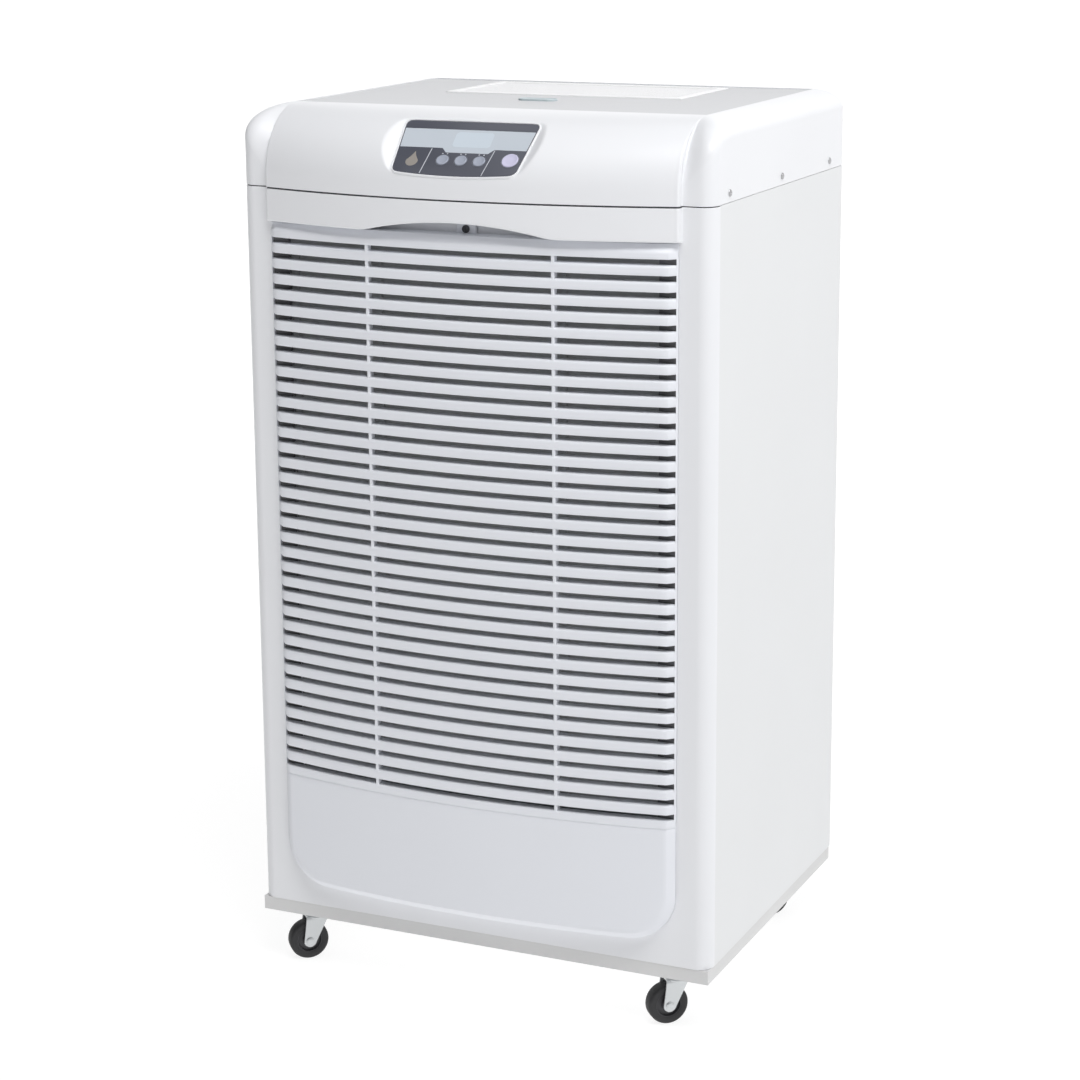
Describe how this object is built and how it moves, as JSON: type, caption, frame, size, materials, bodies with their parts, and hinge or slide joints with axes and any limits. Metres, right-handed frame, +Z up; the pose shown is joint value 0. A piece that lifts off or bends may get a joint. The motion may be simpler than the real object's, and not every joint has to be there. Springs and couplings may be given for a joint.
{
  "type": "dehumidifier",
  "caption": "Free-standing commercial dehumidifier: bowed louvred intake panel, sloping control panel, top air outlet, steel cabinet on swivel casters.",
  "frame": {"origin": "middle of the footprint's bounding box, on the floor", "axes": "+Z up, the front faces -Y, +X is to the right of someone who stands in front"},
  "size_m": [0.6044, 0.518, 1.081],
  "materials": {
    "white_moulding": "moulded ABS, light satin gloss",
    "panel_moulding": "moulded ABS, light satin gloss, slightly cool",
    "painted_side": "powder-coated steel sheet, fine texture",
    "galvanised_steel": "grey coated steel sheet",
    "bright_zinc": "bright zinc plate",
    "black_rubber": "black moulded rubber, satin",
    "filter_mesh": "dark woven nylon mesh in a plastic frame",
    "dark_plastic": "dark moulded plastic, matt",
    "smoked_overlay": "dark slate printed film, satin",
    "display_window": "pale blue-grey display film",
    "button_grey": "grey-blue moulded key caps",
    "button_lilac": "pale lilac moulded key cap",
    "badge_inlay": "blank pale blue oval inlay",
    "circuit_board": "green solder mask",
    "coil_fins": "stacked aluminium fins on copper tube",
    "copper_tube": "drawn copper tube",
    "hose_grey": "grey flexible hose",
    "black_enamel": "black enamelled steel shell",
    "motor_housing": "grey enamelled motor housing",
    "capacitor_can": "drawn aluminium can"
  },
  "bodies": {
    "cabinet": {"base_pan": "galvanised_steel", "front_frame": "white_moulding", "left_side_panel": "painted_side", "right_side_panel": "painted_side", "rear_panel": "painted_side", "top_cover": "white_moulding", "outlet_grille": "white_moulding", "badge": "badge_inlay", "control_bezel": "white_moulding", "control_overlay": "smoked_overlay", "display_window": "display_window", "control_board": "circuit_board", "cover_screws": "bright_zinc", "rear_screws": "bright_zinc", "frame_screws": "bright_zinc", "caster_plates": "bright_zinc", "caster_bolts": "bright_zinc", "compressor": "black_enamel", "accumulator": "black_enamel", "compressor_mounts": "black_rubber", "compressor_bolts": "bright_zinc", "evaporator": "coil_fins", "condenser": "coil_fins", "drip_tray": "white_moulding", "drain_hose": "hose_grey", "drain_spout": "dark_plastic", "bulkhead": "galvanised_steel", "fan_plate": "galvanised_steel", "fan_volute": "galvanised_steel", "fan_motor": "motor_housing", "discharge_line": "copper_tube", "suction_line": "copper_tube", "liquid_line": "copper_tube", "electrical_box": "galvanised_steel", "electrical_cover": "painted_side", "main_board": "circuit_board", "capacitor": "capacitor_can", "humidity_sensor": "white_moulding", "cable_gland": "dark_plastic"},
    "panel": {"intake_panel": "panel_moulding", "air_filter": "filter_mesh"},
    "latch": {"panel_latch": "dark_plastic"},
    "key_left": {"button_left": "button_grey"},
    "key_middle": {"button_middle": "button_grey"},
    "key_right": {"button_right": "button_grey"},
    "key_power": {"power_button": "button_lilac"},
    "fan": {"impeller": "dark_plastic", "motor_shaft": "bright_zinc"},
    "swivel_fl": {"caster_fork_fl": "bright_zinc", "caster_axle_fl": "bright_zinc"},
    "roller_fl": {"caster_wheel_fl": "black_rubber"},
    "swivel_fr": {"caster_fork_fr": "bright_zinc", "caster_axle_fr": "bright_zinc"},
    "roller_fr": {"caster_wheel_fr": "black_rubber"},
    "swivel_rl": {"caster_fork_rl": "bright_zinc", "caster_axle_rl": "bright_zinc"},
    "roller_rl": {"caster_wheel_rl": "black_rubber"},
    "swivel_rr": {"caster_fork_rr": "bright_zinc", "caster_axle_rr": "bright_zinc"},
    "roller_rr": {"caster_wheel_rr": "black_rubber"}
  },
  "joints": [
    {"name": "panel_tilt", "type": "hinge", "parent": "cabinet", "child": "panel", "pos_m": [0, -0.214, 0.118], "axis": [1, 0, 0], "range_deg": [0, 20]},
    {"name": "latch_turn", "type": "hinge", "parent": "panel", "child": "latch", "pos_m": [0, -0.217, 0.949], "axis": [0, -1, 0], "range_deg": [0, 90]},
    {"name": "key_press_left", "type": "slide", "parent": "cabinet", "child": "key_left", "axis": [0, 0.6691, -0.7431], "range_m": [0, 0.0008], "stiffness_N_per_m": 800, "springref_m": -0.0005},
    {"name": "key_press_middle", "type": "slide", "parent": "cabinet", "child": "key_middle", "axis": [0, 0.6691, -0.7431], "range_m": [0, 0.0008], "stiffness_N_per_m": 800, "springref_m": -0.0005},
    {"name": "key_press_right", "type": "slide", "parent": "cabinet", "child": "key_right", "axis": [0, 0.6691, -0.7431], "range_m": [0, 0.0008], "stiffness_N_per_m": 800, "springref_m": -0.0005},
    {"name": "key_press_power", "type": "slide", "parent": "cabinet", "child": "key_power", "axis": [0, 0.6691, -0.7431], "range_m": [0, 0.0008], "stiffness_N_per_m": 800, "springref_m": -0.0005},
    {"name": "fan_spin", "type": "hinge", "parent": "cabinet", "child": "fan", "pos_m": [-0.11, 0.128, 0.7], "axis": [0, 1, 0], "continuous": true},
    {"name": "swivel_turn_fl", "type": "hinge", "parent": "cabinet", "child": "swivel_fl", "pos_m": [-0.245, -0.171, 0.056], "axis": [0, 0, 1], "continuous": true},
    {"name": "wheel_roll_fl", "type": "hinge", "parent": "swivel_fl", "child": "roller_fl", "pos_m": [-0.2554, -0.18037, 0.025], "axis": [0.6691, -0.7431, 0], "continuous": true},
    {"name": "swivel_turn_fr", "type": "hinge", "parent": "cabinet", "child": "swivel_fr", "pos_m": [0.245, -0.171, 0.056], "axis": [0, 0, 1], "continuous": true},
    {"name": "wheel_roll_fr", "type": "hinge", "parent": "swivel_fr", "child": "roller_fr", "pos_m": [0.2346, -0.18037, 0.025], "axis": [0.6691, -0.7431, 0], "continuous": true},
    {"name": "swivel_turn_rl", "type": "hinge", "parent": "cabinet", "child": "swivel_rl", "pos_m": [-0.245, 0.195, 0.056], "axis": [0, 0, 1], "continuous": true},
    {"name": "wheel_roll_rl", "type": "hinge", "parent": "swivel_rl", "child": "roller_rl", "pos_m": [-0.2554, 0.18563, 0.025], "axis": [0.6691, -0.7431, 0], "continuous": true},
    {"name": "swivel_turn_rr", "type": "hinge", "parent": "cabinet", "child": "swivel_rr", "pos_m": [0.245, 0.195, 0.056], "axis": [0, 0, 1], "continuous": true},
    {"name": "wheel_roll_rr", "type": "hinge", "parent": "swivel_rr", "child": "roller_rr", "pos_m": [0.2346, 0.18563, 0.025], "axis": [0.6691, -0.7431, 0], "continuous": true}
  ]
}
